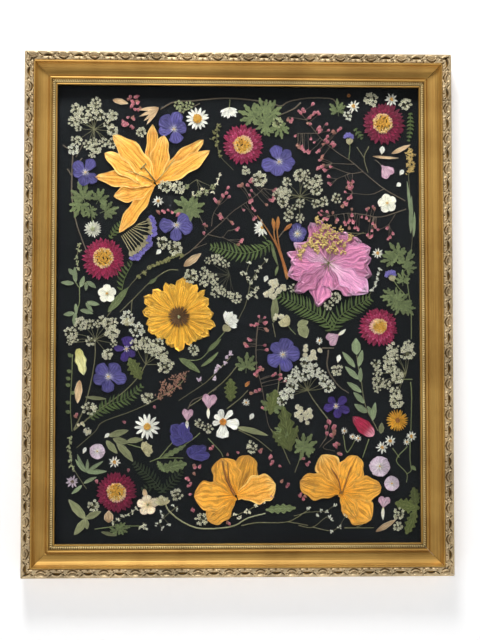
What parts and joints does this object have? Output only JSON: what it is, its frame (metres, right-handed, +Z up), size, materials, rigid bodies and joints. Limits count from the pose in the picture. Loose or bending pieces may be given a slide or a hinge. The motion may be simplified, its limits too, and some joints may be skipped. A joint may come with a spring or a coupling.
{
  "type": "pressed flower frame",
  "caption": "Ornate gilt picture frame, glazed, with pressed garden flowers, leaves and sprigs laid out on a dark card; hangs by a sawtooth hanger.",
  "frame": {"origin": "middle notch of the sawtooth hanger on the back of the top rail, where a wall hook holds the frame", "axes": "+Z up the wall, +Y into the wall, +X to the right as seen from the front; the glass faces -Y"},
  "size_m": [0.4662, 0.0304, 0.5677],
  "materials": {
    "gilt_wood": "satin",
    "gilt_ornament": "satin",
    "glass": "gloss",
    "spacer": "matte",
    "card": "matte",
    "backing": "matte",
    "steel": "satin",
    "felt": "matte",
    "crimson_petals": "matte",
    "violet_petals": "matte",
    "orange_petals": "matte",
    "yellow_petals": "matte",
    "pink_petals": "matte",
    "blush_petals": "matte",
    "white_petals": "matte",
    "cream_petals": "matte"
  },
  "bodies": {
    "root": {"rail_bottom": "gilt_wood", "rail_right": "gilt_wood", "rail_top": "gilt_wood", "rail_left": "gilt_wood", "scroll_ornament_bottom": "gilt_ornament", "scroll_ornament_right": "gilt_ornament", "scroll_ornament_top": "gilt_ornament", "scroll_ornament_left": "gilt_ornament", "bead_ornament_bottom": "gilt_ornament", "bead_ornament_right": "gilt_ornament", "bead_ornament_top": "gilt_ornament", "bead_ornament_left": "gilt_ornament", "spacer_bottom": "spacer", "spacer_right": "spacer", "spacer_top": "spacer", "spacer_left": "spacer", "framers_point_bottom_1": "steel", "framers_point_right_1": "steel", "framers_point_right_2": "steel", "framers_point_top_1": "steel", "framers_point_left_1": "steel", "framers_point_left_2": "steel", "glass_pane": "glass", "mount_card": "card", "backing_board": "backing", "hanger": "steel", "hanger_nail_1": "steel", "hanger_nail_2": "steel", "felt_bumper_1": "felt", "felt_bumper_2": "felt", "strawflower_top": "crimson_petals", "strawflower_top_right": "crimson_petals", "strawflower_left": "crimson_petals", "strawflower_right": "crimson_petals", "strawflower_bottom_left": "crimson_petals", "geranium_top": "violet_petals", "geranium_under_parsley": "violet_petals", "geranium_middle_left": "violet_petals", "geranium_narrow": "violet_petals", "geranium_lower_left": "violet_petals", "geranium_centre": "violet_petals", "geranium_deep_purple": "violet_petals", "primrose_left": "white_petals", "primrose_right": "white_petals", "daisy_top": "white_petals", "daisy_lower_left": "white_petals", "coreopsis": "yellow_petals", "cosmos": "white_petals", "lily": "orange_petals", "alstroemeria_left": "orange_petals", "alstroemeria_right": "orange_petals", "peony": "pink_petals", "crimson_petal": "crimson_petals", "tulip_petal": "cream_petals", "bindweed_left": "blush_petals", "bindweed_right": "blush_petals", "bindweed_lower_right": "blush_petals", "aster": "yellow_petals"}
  },
  "joints": []
}
